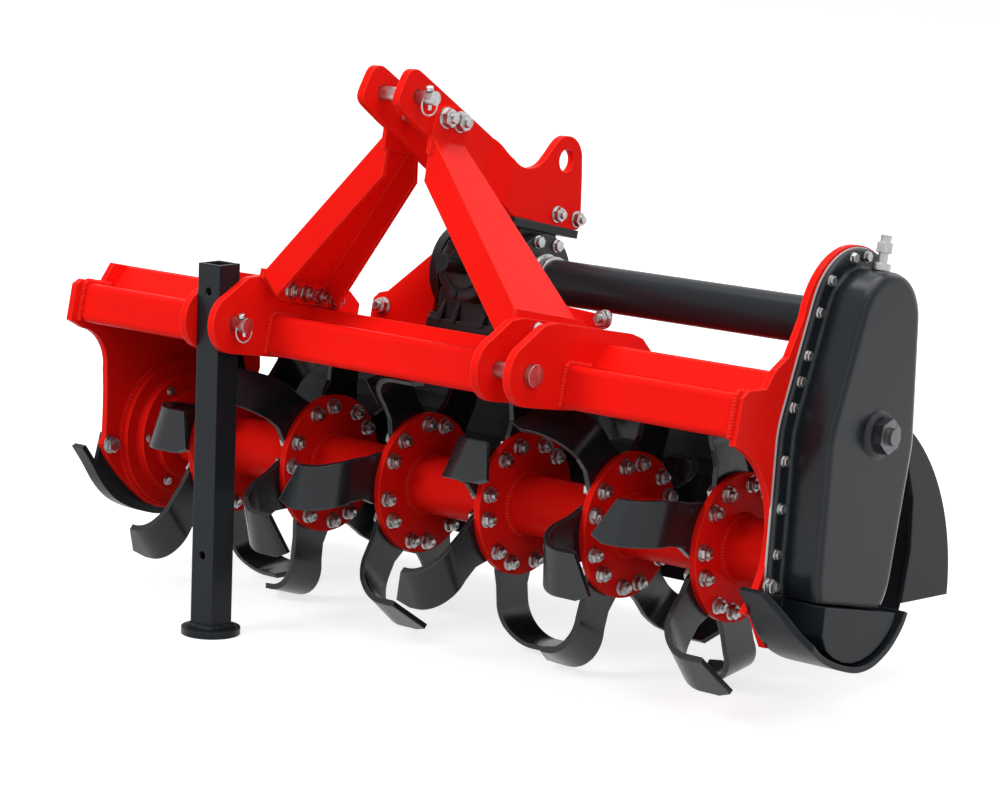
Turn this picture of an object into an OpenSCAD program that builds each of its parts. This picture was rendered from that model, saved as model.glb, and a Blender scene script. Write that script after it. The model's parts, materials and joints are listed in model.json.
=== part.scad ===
// Rotary tiller for a small tractor, parked on its rotor and its pinned leg.
// Machine frame: origin on the rotor axis midway between the side plates,
// +X toward the chain case, +Y rearward, +Z up, all in millimetres.

/* [Working width] */
// Clear width between the two side plates
work_w = 1230; // [1130:10:1400]
// Thickness of the side plates
side_t = 10; // [8:1:12]
// Nose-up angle of the machine as it is parked
park_pitch = 11.5; // [9:0.5:12.5]

/* [Front beam] */
// Outside size of the square beam tube
beam_s = 60; // [50:1:64]
// Wall of the beam tube
beam_wall = 10; // [6:0.5:12]
// Outside corner radius of the beam tube
beam_r = 10; // [4:1:14]

/* [Hood] */
// Thickness of the hood sheet
hood_t = 4; // [2:0.5:6]
// Height of the hood top above the rotor axis
hood_z = 230; // [229:1:236]

/* [Rotor] */
// Room beside the outer flanges, both ends of the rotor together
flange_ends = 270.5; // [260:0.5:300]
// Outside diameter of a flange
flange_d = 210; // [190:1:220]
// Thickness of a flange
flange_t = 10; // [8:1:12]
// Outside diameter of the rotor tube
rotor_d = 88; // [70:1:95]
// Radius swept by the tine tips
tip_r = 216; // [206:1:217]
// Width of a tine
tine_w = 57; // [48:1:60]
// Thickness of a tine
tine_t = 8; // [6:0.5:9]
// Inside bend radius of a tine
tine_bend = 46; // [34:1:50]
// Sideways reach of a tine from its shank
tine_reach = 90; // [80:1:92]

/* [Three-point hitch] */
// Distance between the two lower link centres
lower_span = 550; // [520:5:600]
// Clear gap between a pair of lower link plates
lower_gap = 45; // [44:1:50]
// Thickness of the hitch and mast plates
hitch_t = 12; // [10:1:15]
// Diameter of the lower link pins
lower_pin_d = 22; // [20:0.5:24]
// Nose radius of the lower link plates
nose_r = 44; // [38:1:46]
// Diameter of the top link pin
top_pin_d = 20; // [18:0.5:22]
// Clear gap between the mast plates at the top link
top_gap = 54; // [50:1:58]
// Diameter of the lifting eye
lift_eye_d = 34; // [28:1:38]

/* [Drive] */
// Diameter of the drive tube
drive_d = 65; // [55:1:70]
// Diameter of the input stub shaft
stub_d = 25; // [22:1:30]
// Free length of the input stub shaft
stub_len = 54; // [45:1:60]
// Diameter of the input bearing housing
input_d = 100; // [90:1:104]

/* [Chain case] */
// Depth of the chain case cover outside its flange
case_deep = 58; // [50:1:64]
// Thickness of the cover flange
case_flange = 8; // [6:1:10]
// Wall of the chain case cover
case_wall = 4; // [3:0.5:6]

/* [Tailgate] */
// Thickness of the tailgate sheet
gate_t = 2; // [1.5:0.5:3]
// Radius of the curved tailgate sheet
gate_r = 292; // [290:1:296]

/* [Parking leg] */
// Outside size of the square leg tube
leg_s = 42; // [38:1:43]
// Wall of the leg tube
leg_wall = 4; // [3:0.5:6]
// Diameter of the foot plate
foot_d = 87; // [70:1:90]
// Thickness of the foot plate
foot_t = 10; // [6:1:12]
// Length of leg above the lower link pin
leg_above = 84; // [70:1:88]

/* [Hidden] */
$fn = 64;

hw = work_w / 2;
beam_y = -245;
beam_z = 150;
hitch_x = 20;
pin_y = -318;
pin_z = 187.5;
top_y = -325;
top_z = 540;
drive_y = -28;
drive_z = 323;
hinge_y = 150;
hinge_z = 212;
gate_cy = hinge_y + 33.04 - 0.37 * gate_r;
gate_cz = hinge_z - 10.44 - 0.93 * gate_r;
inner_r = 258;
case_x = hw + side_t;
skid_x = case_x + 75;
left_x = -(hw + side_t + 24);
right_x = case_x + case_flange + case_deep + 28;
shift_x = -(left_x + right_x) / 2;
pin_yw = pin_y * cos(park_pitch) + pin_z * sin(park_pitch);
pin_zw = pin_z * cos(park_pitch) - pin_y * sin(park_pitch);
gate_yw = gate_cy * cos(park_pitch) + gate_cz * sin(park_pitch) + gate_r + gate_t;
shift_y = -(pin_yw - nose_r + gate_yw) / 2;
flanges = 6;
flange_pitch = (work_w - flange_ends) / (flanges - 1);
wing_w = 60;
corner_a = asin(wing_w / tip_r);
turn = 36;
phase_0 = 24 + park_pitch - corner_a;
axis_h = tip_r;
mast_l = hitch_x - top_gap / 2;
mast_r = hitch_x + top_gap / 2;
mast_out = 22;
rail_z = 246;
pair_l = hitch_x - lower_span / 2;
pair_r = hitch_x + lower_span / 2;
RED = [0.78, 0.05, 0.04];
BLACK = [0.05, 0.05, 0.06];
STEEL = [0.72, 0.72, 0.74];

// Machine frame set down in its parked place
module park() {
  translate([shift_x, shift_y, axis_h])
    rotate([-park_pitch, 0, 0])
      children();
}

// A plate of outline (y, z) from x0 with thickness t
module yz(x0, t) {
  translate([x0, 0, 0])
    rotate([90, 0, 90])
      linear_extrude(t)
        children();
}

// A round bar along X
module rod(x0, x1, y, z, d) {
  translate([x0, y, z])
    rotate([0, 90, 0])
      cylinder(d = d, h = x1 - x0);
}

// A square with rounded corners
module round_square(w, h, r) {
  translate([r, 0])
    square([w - 2 * r, h]);
  translate([0, r])
    square([w, h - 2 * r]);
  for (x = [r, w - r])
    for (y = [r, h - r])
      translate([x, y])
        circle(r);
}

// Front cross beam, a rounded square tube between the side plates
module front_beam() {
  color(RED)
    yz(-hw, work_w)
      translate([beam_y, beam_z])
        difference() {
          round_square(beam_s, beam_s, beam_r);
          translate([beam_wall, beam_wall])
            round_square(beam_s - 2 * beam_wall, beam_s - 2 * beam_wall, max(beam_r - beam_wall, 2));
        }
}

// Bent hood sheet from the beam over the rotor, with lugs for the tailgate hinge
module hood() {
  by = beam_y + beam_s;
  bz = beam_z + beam_s - beam_r;
  color(RED)
    difference() {
      union() {
        yz(-hw, work_w)
          polygon([
            [by, bz], [by, bz - hood_t], [by + 6, bz - hood_t],
            [by + 24, hood_z - hood_t], [96, hood_z - hood_t],
            [130, hinge_z - 1], [132, hinge_z + 4], [97, hood_z], [by + 21, hood_z]
          ]);
        for (x = [-480, -160, 160, 480])
          yz(x - 20, 40)
            difference() {
              union() {
                translate([hinge_y, hinge_z])
                  circle(12);
                polygon([[hinge_y, hinge_z + 12], [126, hinge_z + 7], [126, hinge_z], [hinge_y - 8, hinge_z - 9]]);
              }
              translate([hinge_y, hinge_z])
                circle(7);
            }
      }
    }
}

// Section of a raised deck rail behind the beam
module rail_section() {
  by = beam_y + beam_s;
  bz = beam_z + beam_s - beam_r;
  polygon([
    [by, bz], [by + 21, hood_z], [-95, hood_z], [-95, rail_z - 5], [-100, rail_z],
    [by + 28, rail_z], [by + 22, rail_z - 3], [by + 1, bz + 12]
  ]);
}

// Raised rail on the hood from the left side plate to the left hitch plates
module deck_rail_left() {
  color(RED)
    yz(-hw, pair_l - lower_gap / 2 - hitch_t + hw)
      rail_section();
}

// Raised rail on the hood from the right hitch plates to the right side plate
module deck_rail_right() {
  color(RED)
    yz(pair_r + lower_gap / 2 + hitch_t, hw - pair_r - lower_gap / 2 - hitch_t)
      rail_section();
}

// Left side plate with its nose round the beam end and its hollowed front edge
module side_plate_left() {
  color(RED)
    yz(-hw - side_t, side_t)
      difference() {
        polygon(concat(
            [[-262, 205], [-250, 214], [-206, 214], [-190, 246], [112, 246], [142, 234]],
            [[172, 120], [150, -20], [105, -95], [60, -119], [-29, -119], [-43, -113], [-70, -100]],
            [[-105, -78], [-133, -56], [-153, -34], [-148, -21], [-154, 15], [-161, 50]],
            [for (a = [5 : 8.5 : 90]) [-232 + 63 * cos(a), 77 + 63 * sin(a)]],
            [[-262, 149]]
          ));
        circle(30);
      }
}

// Right side plate, the back of the chain case
module side_plate_right() {
  color(RED)
    yz(hw, side_t)
      difference() {
        polygon(concat(
            [[-246, 205], [-234, 215], [-196, 221], [-182, 247], [-158, 267]],
            [for (a = [180 : -7.5 : 0]) [drive_y + 110 * cos(a), drive_z + 110 * sin(a)]],
            [[112, 170], [112, 60], [108, -80], [70, -119], [-100, -119], [-135, -80], [-246, -60]]
          ));
        translate([-262, 10])
          circle(132);
        circle(30);
      }
}

// Stepped bearing housing on the left side plate
module bearing_housing() {
  color(RED)
    difference() {
      union() {
        rod(-hw, -hw + 14, 0, 0, 234);
        rod(-hw, -hw + 28, 0, 0, 190);
        rod(-hw, -hw + 40, 0, 0, 140);
      }
      rod(-hw - 1, -hw + 41, 0, 0, 56);
    }
}

// Outer cap that closes the bearing bore in the left side plate
module bearing_cap() {
  x1 = -hw - side_t;
  color(RED) {
    rod(x1 - 8, x1, 0, 0, 118);
    rod(x1 - 20, x1 - 8, 0, 0, 74);
  }
}

// Outline of a lower link plate, seated over the beam and on the hood
module hitch_outline() {
  by = beam_y + beam_s;
  difference() {
    union() {
      translate([pin_y, pin_z])
        circle(nose_r);
      polygon([
        [pin_y, pin_z - nose_r], [pin_y - 30, pin_z + 32], [-304, 256], [-279, 262], [-110, 266], [-84, 262],
        [-59, 246], [-59, hood_z], [by + 21, hood_z], [by, beam_z + beam_s - beam_r], [by, beam_z],
        [beam_y, beam_z - 3]
      ]);
    }
    translate([beam_y, beam_z])
      square([beam_s, beam_s]);
    translate([beam_y + beam_s / 2, beam_z - 50])
      square([200, 100]);
    translate([pin_y, pin_z])
      circle(d = lower_pin_d + 1);
  }
}

// A pair of lower link plates about the middle xm
module hitch_pair(xm) {
  yz(xm - lower_gap / 2 - hitch_t, hitch_t)
    hitch_outline();
  yz(xm + lower_gap / 2, hitch_t)
    hitch_outline();
}

module hitch_plates_left() {
  color(RED)
    hitch_pair(pair_l);
}

module hitch_plates_right() {
  color(RED)
    hitch_pair(pair_r);
}

// Left lower link pin, which also carries the parking leg
module lower_pin_left() {
  x0 = pair_l - lower_gap / 2 - hitch_t;
  x1 = pair_l + lower_gap / 2 + hitch_t;
  color(STEEL) {
    rod(x0 - 4, x1 + 26, pin_y, pin_z, lower_pin_d);
    rod(x0 - 12, x0 - 4, pin_y, pin_z, lower_pin_d + 10);
  }
}

// Right lower link pin with its round head
module lower_pin_right() {
  x0 = pair_r - lower_gap / 2 - hitch_t;
  x1 = pair_r + lower_gap / 2 + hitch_t;
  color(STEEL) {
    rod(x0 - 16, x1 + 1, pin_y, pin_z, lower_pin_d);
    rod(x1 + 1, x1 + 10, pin_y, pin_z, lower_pin_d + 9);
  }
}

// Top link pin through the mast plates
module top_link_pin() {
  color(STEEL) {
    rod(mast_l - hitch_t - 4, mast_r + hitch_t + 32, top_y, top_z, top_pin_d);
    rod(mast_l - hitch_t - 12, mast_l - hitch_t - 4, top_y, top_z, top_pin_d + 10);
  }
}

// Outline of the forward part of both mast plates
module mast_front() {
  polygon([
    [-364, 528], [-355, 564], [-345, 575], [-331, 578], [-318, 572], [-144, 511],
    [-140, 511], [-140, 430], [-200, 452], [-284, 489], [-308, 497], [-354, 518]
  ]);
}

// Outline of the rear of the right mast plate with the lifting eye
module mast_rear_eye() {
  polygon(concat(
    [[-170, 520], [-151, 489], [-118, 475], [-85, 476], [-59, 492], [-40, 511]],
    [for (a = [150 : -10 : 0]) [-4 + 33 * cos(a), 500 + 33 * sin(a)]],
    [[37, 489], [44, 448], [50, 412], [40, 404], [0, 404], [-48, 410], [-90, 416], [-170, 440]]
  ));
}

// Outline of the rear of the left mast plate, without an eye
module mast_rear_plain() {
  polygon([
    [-170, 520], [-151, 489], [-118, 475], [-60, 470], [30, 462], [44, 448], [50, 412], [40, 404],
    [0, 404], [-48, 410], [-90, 416], [-170, 440]
  ]);
}

// Folded strip, straight in front, jogged outward and straight again, seen from above
module mast_fold() {
  translate([0, 0, 380])
    linear_extrude(220)
      polygon([
        [0, -400], [hitch_t, -400], [hitch_t, -152], [hitch_t + mast_out, -122], [hitch_t + mast_out, 80],
        [mast_out, 80], [mast_out, -119], [0, -149]
      ]);
}

module mast_plate_left() {
  color(RED)
    translate([mast_l, 0, 0])
      mirror([1, 0, 0])
        difference() {
          intersection() {
            mast_fold();
            yz(-1, 60)
              union() {
                mast_front();
                mast_rear_plain();
              }
          }
          rod(-1, hitch_t + 1, top_y, top_z, top_pin_d + 1);
        }
}

module mast_plate_right() {
  color(RED)
    translate([mast_r, 0, 0])
      difference() {
        intersection() {
          mast_fold();
          yz(-1, 60)
            union() {
              mast_front();
              mast_rear_eye();
            }
        }
        rod(-1, hitch_t + 1, top_y, top_z, top_pin_d + 1);
        rod(-1, mast_out + hitch_t + 1, -4, 500, lift_eye_d);
      }
}

// A folded strut leaning from the foot tab at xb to the head tab at xt
module strut(xb, xt) {
  zb = 262;
  zt = 484;
  lean = atan2(xt - xb, zt - zb);
  run = norm([xt - xb, zt - zb]);
  t = 7;
  difference() {
    union() {
      translate([xb, 0, zb])
        rotate([0, lean, 0]) {
          yz(-t, t)
            polygon([[-280, 0], [-142, 0], [-218, run], [-285, run]]);
          yz(-t, 44)
            polygon([[-280, 0], [-280 + t, 0], [-285 + t, run], [-285, run]]);
          yz(-t, 44)
            polygon([[-142 - t, 0], [-142, 0], [-218, run], [-218 - t, run]]);
        }
      yz(xb - t, t)
        polygon([
          [-284, 259], [-240, hood_z + 2], [-108, hood_z + 2], [-104, 252], [-138, 273], [-284, 273]
        ]);
      yz(xt - t, t)
        polygon([
          [-290, 466], [-212, 466], [-213, 506], [-219, 524], [-230, 534], [-244, 538],
          [-264, 538], [-278, 534], [-287, 524], [-291, 506]
        ]);
    }
    translate([xt, -400, 200])
      cube([300, 500, 500]);
    translate([xb - t - 300, -400, 180])
      cube([300, 500, 400]);
  }
}

module strut_left() {
  color(RED)
    strut(pair_l + lower_gap / 2 + hitch_t + 7, mast_l - hitch_t);
}

module strut_right() {
  color(RED)
    translate([2 * hitch_x, 0, 0])
      mirror([1, 0, 0])
        strut(pair_l + lower_gap / 2 + hitch_t + 7, mast_l - hitch_t);
}

// Cast right-angle gearbox
module gearbox_housing() {
  color(BLACK)
    difference() {
      union() {
        translate([hitch_x, -110, drive_z])
          rotate([-90, 0, 0])
            cylinder(d = input_d, h = 90);
        translate([hitch_x, -118, drive_z])
          rotate([-90, 0, 0])
            cylinder(d = input_d - 22, h = 20);
        rod(-52, 78, drive_y, drive_z, 118);
        rod(78, 90, drive_y, drive_z, 132);
        rod(-68, -52, drive_y, drive_z, 132);
        translate([-48, -84, hood_z])
          cube([126, 112, 60]);
        translate([-58, -92, hood_z])
          cube([148, 128, 14]);
        translate([-40, -70, 370])
          cube([110, 84, 22]);
      }
      rod(60, 95, drive_y, drive_z, 44);
    }
}

// Plate on top of the gearbox that carries the mast plates
module gearbox_bracket() {
  x0 = mast_l - mast_out;
  x1 = mast_r + mast_out;
  color(BLACK) {
    translate([x0 - hitch_t, -100, 392])
      cube([x1 - x0 + 2 * hitch_t, 150, 12]);
    for (x = [x0, x1 - 10])
      translate([x, -40, 404])
        cube([10, 84, 34]);
  }
}

// Input stub shaft with its cap
module input_stub() {
  color(BLACK)
    translate([hitch_x, -118 - stub_len, drive_z])
      rotate([-90, 0, 0])
        cylinder(d = stub_d, h = stub_len);
}

// A folded support plate: the side that carries the gearbox
module support_side() {
  yz(-74, 6)
    difference() {
      polygon([[-70, hood_z], [20, hood_z], [20, 290], [-6, 366], [-70, 366]]);
      translate([drive_y, drive_z])
        circle(30);
    }
}

// The front of a folded support, an outline in (x, z)
module support_front() {
  translate([0, -64, 0])
    rotate([90, 0, 0])
      linear_extrude(6)
        children();
}

module support_left() {
  color(RED) {
    support_side();
    support_front()
      polygon([
        [-186, hood_z], [-68, hood_z], [-68, 366], [-73, 366], [-76, 348], [-88, 335],
        [-160, 272], [-176, 268], [-186, 258]
      ]);
  }
}

module support_right() {
  color(RED)
    translate([22, 0, 0])
      mirror([1, 0, 0]) {
        support_side();
        support_front()
          polygon([
            [-216, hood_z], [-68, hood_z], [-68, 366], [-73, 366], [-76, 348], [-88, 335],
            [-152, 290], [-206, 287], [-216, 270]
          ]);
      }
}

// Drive tube from the gearbox to the chain case
module drive_tube() {
  color(BLACK)
    difference() {
      rod(114, hw, drive_y, drive_z, drive_d);
      rod(113, hw + 1, drive_y, drive_z, drive_d - 10);
    }
}

// Bright collar and shaft end between the gearbox and the drive tube
module drive_collar() {
  color(STEEL)
    difference() {
      rod(90, 114, drive_y, drive_z, 58);
      rod(89, 115, drive_y, drive_z, 36);
    }
}

// Chain case barrel of depth h, its three circles grown by g
module case_barrel(g, h) {
  for (c = [[-27, 330, 73], [-24, 170, 105], [-12, 0, 92]])
    rod(case_x, case_x + h, c[0], c[1], 2 * (c[2] + g), $fn = 96);
}

// Dished chain case cover on its bolted flange
module chain_cover() {
  h = case_flange + case_deep;
  color(BLACK)
    difference() {
      union() {
        hull()
          case_barrel(26, case_flange);
        hull() {
          case_barrel(0, h - 10);
          case_barrel(-3, h - 3);
          case_barrel(-10, h);
        }
        rod(case_x + 20, case_x + h + 6, -15, 186, 62);
      }
      translate([-1, 0, 0])
        hull()
          case_barrel(-6, h - 10);
      translate([case_x - 50, -300, -346])
        cube([200, 600, 300]);
    }
}

// Large nut of the chain tensioner
module tensioner_nut() {
  x1 = case_x + case_flange + case_deep + 6;
  color(BLACK) {
    translate([x1, -15, 186])
      rotate([0, 90, 0])
        cylinder(d = 50, h = 14, $fn = 6);
    rod(x1 + 14, right_x, -15, 186, 24);
  }
}

// Bright filler and breather plug on top of the chain case
module filler_plug() {
  color(STEEL)
    translate([case_x + case_flange + 26, -27, 330 + 73]) {
      cylinder(d = 26, h = 10);
      translate([0, 0, 10])
        cylinder(d = 14, h = 14);
      translate([0, 0, 24])
        cylinder(d = 24, h = 14, $fn = 6);
      translate([0, 0, 38])
        cylinder(d = 15, h = 10);
    }
}

// Point at u from 0 to 1 on a smooth curve from q1 to q2, q0 and q3 being their neighbours
function between(q0, q1, q2, q3, u) =
  0.5 * (2 * q1 + u * (q2 - q0) + u * u * (2 * q0 - 5 * q1 + 4 * q2 - q3)
  + u * u * u * (3 * q1 - q0 - 3 * q2 + q3));

// Smooth curve through the points p, n steps to each
function curve(p, n) = [
  for (i = [0 : len(p) - 2])
    for (k = [0 : n - 1])
      between(p[max(i - 1, 0)], p[i], p[i + 1], p[min(i + 2, len(p) - 1)], k / n),
  p[len(p) - 1]
];

// Underside and top of a sole in (y, z), turned up at both ends
under = curve([
  [-184, -44], [-158, -67], [-128, -96], [-98, -116], [-66, -127], [-28, -133], [10, -134],
  [46, -124], [80, -100], [102, -70], [110, -48]
], 4);
above = curve([
  [102, -46], [94, -66], [74, -94], [42, -116], [9, -126], [-27, -125], [-63, -119],
  [-93, -109], [-122, -90], [-152, -61], [-177, -39]
], 4);

// Section of a curved sole in (y, z)
module sole() {
  polygon(concat(under, above));
}

// Left skid, a narrow curved sole with its bolted wall
module skid_left() {
  color(BLACK) {
    yz(left_x, -hw - side_t - left_x)
      sole();
    yz(-hw - side_t - 6, 6)
      polygon(concat(
        [for (q = under) if (q[0] > -152 && q[0] < 80) q],
        [[60, -84], [-60, -84], [-104, -62], [-118, -16], [-146, -16]]
      ));
  }
}

// Outline of the round-bottomed guard under the chain case
module guard_side() {
  polygon([
    [-86, -50], [-82, -90], [-66, -108], [-46, -117], [-22, -122], [2, -122], [24, -117],
    [44, -108], [62, -95], [76, -80], [85, -66], [88, -50]
  ]);
}

// Right skid with the boxed guard under the chain case
module skid_right() {
  color(BLACK) {
    intersection() {
      yz(case_x, skid_x - case_x + 6)
        sole();
      translate([0, 0, -200])
        linear_extrude(200)
          polygon([
            [case_x - 1, -200], [case_x + 35, -200], [case_x + 35, -183], [skid_x + 6, -108],
            [skid_x + 6, 130], [case_x - 1, 130]
          ]);
    }
    yz(case_x, 6)
      polygon(concat(under, [[102, -48], [-128, -48], [-177, -39]]));
    yz(case_x, skid_x - case_x)
      difference() {
        guard_side();
        translate([-1, -54])
          scale([0.9, 0.9])
            translate([1, 54])
              guard_side();
      }
    yz(skid_x - 6, 6)
      guard_side();
  }
}

// Rod that the tailgate swings on
module hinge_rod() {
  color(STEEL)
    rod(-hw + 10, hw - 10, hinge_y, hinge_z, 14);
}

// Rotor tube with its flanges and end journals
module rotor_shaft() {
  color(RED) {
    difference() {
      rod(-hw + 46, hw - 8, 0, 0, rotor_d);
      rod(-hw + 66, hw - 28, 0, 0, rotor_d - 14);
    }
    rod(-hw + 2, -hw + 60, 0, 0, 50);
    rod(hw - 20, hw + 30, 0, 0, 50);
    for (i = [0 : flanges - 1])
      rod(flange_x(i) - flange_t / 2, flange_x(i) + flange_t / 2, 0, 0, flange_d);
  }
}

function flange_x(i) = 7.2 + (i - (flanges - 1) / 2) * flange_pitch;

// One tine pointing up from its flange, bent to one side, its wing swept to -Y
module tine(side) {
  w = tine_w / 2;
  ro = sqrt(tip_r * tip_r - wing_w * wing_w);
  rb = ro - tine_t - tine_bend;
  xc = -tine_bend - tine_t / 2;
  intersection() {
    translate([-flange_t / 2 - tine_t / 2, 90, 0])
      rotate([90, 0, 0])
        linear_extrude(180)
          tine_section(side, ro, rb, xc);
    translate([-200, 0, 0])
      rotate([90, 0, 90])
        linear_extrude(400)
          polygon([
            [-34, 66], [34, 66], [38, 80], [38, 98], [w + 2, 122], [w - 3, 152], [w - 12, 182], [w - 25, ro + 2],
            [-wing_w, ro + 2], [-w - 22, 184], [-w - 9, 148], [-w - 4, 122], [-38, 98], [-38, 80]
          ]);
    translate([0, 0, 40])
      linear_extrude(200)
        polygon([
          [-side * 60, -75], [side * 36, -75], [side * (tine_reach + 4), -50],
          [side * (tine_reach - 24), 8], [side * 30, 44], [-side * 60, 44]
        ]);
  }
}

// Section of a tine in (x, radius), bent to one side
module tine_section(side, ro, rb, xc) {
  h = tine_t / 2;
  translate([-h, 50])
    square([tine_t, rb - 50]);
  intersection() {
    translate([-side * xc, rb])
      difference() {
        circle(tine_bend + tine_t);
        circle(tine_bend);
      }
    translate([side > 0 ? -h : xc, rb])
      square([-xc + h, tine_bend + tine_t]);
  }
  translate([side > 0 ? -xc : -tine_reach - 20, ro - tine_t])
    square([tine_reach + 20 + xc, tine_t]);
}

// Six tines of flange i, bent left and right by turns
module tine_set(i) {
  if (i < flanges)
    color(BLACK)
      translate([flange_x(i), 0, 0])
        for (k = [0 : 5])
          rotate([phase_0 + turn * i + 60 * k, 0, 0])
            tine(k % 2 == 0 ? -1 : 1);
}

module tines_1() {
  tine_set(0);
}

module tines_2() {
  tine_set(1);
}

module tines_3() {
  tine_set(2);
}

module tines_4() {
  tine_set(3);
}

module tines_5() {
  tine_set(4);
}

module tines_6() {
  tine_set(5);
}

// Section of the tailgate in (y, z), an arc band of thickness t
module gate_arc(t) {
  s = gate_r / 292;
  intersection() {
    translate([gate_cy, gate_cz])
      difference() {
        circle(gate_r + gate_t);
        circle(gate_r + gate_t - t);
      }
    polygon([
      [gate_cy, gate_cz + 44], [gate_cy + 400, gate_cz + 44], [gate_cy + 400, gate_cz + 400],
      [gate_cy + 160 * s, gate_cz + 400 * s], [gate_cy + 88 * s, gate_cz + 262 * s], [gate_cy, gate_cz + 120]
    ]);
  }
}

// Curved tailgate sheet with its hinge knuckles
module tailgate_sheet() {
  color(BLACK) {
    yz(-hw + 12, work_w - 24)
      gate_arc(gate_t);
    for (x = [-400, 0, 400])
      yz(x - 40, 80)
        difference() {
          union() {
            translate([hinge_y, hinge_z])
              circle(12);
            polygon([
              [hinge_y + 3, hinge_z + 11], [hinge_y + 34, hinge_z - 8], [hinge_y + 30, hinge_z - 16],
              [hinge_y - 4, hinge_z - 10]
            ]);
          }
          translate([hinge_y, hinge_z])
            circle(7.5);
        }
  }
}

// Inner sheet of the tailgate, curved round the rotor and hanging lower
module tailgate_inner() {
  r = inner_r;
  color(BLACK)
    yz(-hw + 12, work_w - 24)
      polygon(concat(
        [for (a = [42 : -6 : -18]) [(r + gate_t) * cos(a), (r + gate_t) * sin(a)]],
        [for (a = [-18 : 6 : 42]) [r * cos(a), r * sin(a)]]
      ));
}

// End cheeks of the tailgate
module tailgate_cheeks() {
  color(BLACK)
    for (x = [-hw + 6, hw - 12])
      yz(x, 6)
        intersection() {
          translate([gate_cy, gate_cz])
            circle(gate_r + gate_t);
          polygon([
            [386, -24], [248, -46], [249, 30], [232, 105], [190, 172], [172, 190],
            [180, 210], [260, 250], [420, 100]
          ]);
        }
}

// Parking leg in its upright place on the left lower link pin
module hang_leg() {
  translate([shift_x + pair_l, shift_y + pin_yw, 0])
    children();
}

// Square parking leg, open at the top, drilled for its pins
module stand_leg() {
  top = pin_zw + axis_h + leg_above;
  color(BLACK)
    hang_leg()
      difference() {
        translate([-leg_s / 2, -leg_s / 2, foot_t])
          cube([leg_s, leg_s, top - foot_t]);
        translate([-leg_s / 2 + leg_wall, -leg_s / 2 + leg_wall, foot_t - 1])
          cube([leg_s - 2 * leg_wall, leg_s - 2 * leg_wall, top]);
        translate([-50, 0, pin_zw + axis_h])
          rotate([0, 90, 0])
            cylinder(d = lower_pin_d + 2, h = 100);
        for (z = [top - 40, top - 428])
          translate([0, -50, z])
            rotate([-90, 0, 0])
              cylinder(d = 13, h = 100);
      }
}

// Round foot plate of the leg
module stand_foot() {
  color(BLACK)
    hang_leg()
      cylinder(d = foot_d, h = foot_t);
}

park() front_beam();
park() hood();
park() deck_rail_left();
park() deck_rail_right();
park() side_plate_left();
park() side_plate_right();
park() bearing_housing();
park() bearing_cap();
park() hitch_plates_left();
park() hitch_plates_right();
park() lower_pin_left();
park() lower_pin_right();
park() top_link_pin();
park() mast_plate_left();
park() mast_plate_right();
park() strut_left();
park() strut_right();
park() gearbox_housing();
park() gearbox_bracket();
park() input_stub();
park() support_left();
park() support_right();
park() drive_tube();
park() drive_collar();
park() chain_cover();
park() tensioner_nut();
park() filler_plug();
park() skid_left();
park() skid_right();
park() hinge_rod();
park() rotor_shaft();
park() tines_1();
park() tines_2();
park() tines_3();
park() tines_4();
park() tines_5();
park() tines_6();
park() tailgate_sheet();
park() tailgate_inner();
park() tailgate_cheeks();
stand_leg();
stand_foot();
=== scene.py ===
# %% [markdown]
# # A rotary tiller in Blender
# The tiller comes in as a finished frame of solids, one object for each plate, tube and casting.
# This lesson sets the camera and the light, gives each surface its finish, adds the small hardware
# that the solids leave out, such as bolts, washers, clips and weld beads, and draws three plates
# again with finer outlines.

# %% Load the frame
import json
import math
import bpy
from mathutils import Matrix, Vector


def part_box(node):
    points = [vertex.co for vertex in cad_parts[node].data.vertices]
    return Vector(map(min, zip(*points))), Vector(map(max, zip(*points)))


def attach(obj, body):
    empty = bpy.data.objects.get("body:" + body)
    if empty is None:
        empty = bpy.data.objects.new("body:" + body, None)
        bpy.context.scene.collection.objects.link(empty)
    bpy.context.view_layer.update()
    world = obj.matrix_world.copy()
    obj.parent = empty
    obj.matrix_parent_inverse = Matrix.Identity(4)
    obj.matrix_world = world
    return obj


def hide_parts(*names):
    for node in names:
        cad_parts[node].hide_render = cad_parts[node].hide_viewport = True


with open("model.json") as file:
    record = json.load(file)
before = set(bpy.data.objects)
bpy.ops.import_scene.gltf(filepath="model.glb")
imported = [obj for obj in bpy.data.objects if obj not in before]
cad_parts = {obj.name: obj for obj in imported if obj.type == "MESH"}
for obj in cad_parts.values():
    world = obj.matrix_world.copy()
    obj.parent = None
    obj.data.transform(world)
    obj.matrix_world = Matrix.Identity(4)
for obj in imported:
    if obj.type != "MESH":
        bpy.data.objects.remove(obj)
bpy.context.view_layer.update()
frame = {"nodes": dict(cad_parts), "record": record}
nodes = frame["nodes"]

# %% [markdown]
# The machine is parked nose-up, so its own axes lean against the floor. Places on it are easier
# to give along its own axes, in millimetres from the middle of the rotor: x to the chain case,
# y to the rear and z up. `spot` turns such a place into the scene's metres, and `way` a direction.

# %% Machine axes
PARKED = -11.5
LEAN = Matrix.Rotation(math.radians(PARKED), 3, "X")
joints = {joint["name"]: joint for joint in frame["record"]["behaviour"]["joints"]}
ROTOR = Vector(joints["rotor_spin"]["pos_m"])


def spot(x, y, z):
    return ROTOR + LEAN @ (Vector((x, y, z)) / 1000)


def way(x, y, z):
    return (LEAN @ Vector((x, y, z))).normalized()


print("rotor axis at", tuple(round(v, 4) for v in ROTOR))

# %% [markdown]
# ## Camera
# The picture is taken with a long lens from the front right, a little over a metre above the floor.
# The camera's place and its three directions were fitted to the beam, the flanges and the leg,
# so they are given directly: a matrix of right, up and backward, and a focal length in pixels,
# which the width of the picture turns into a lens in millimetres.

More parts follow.
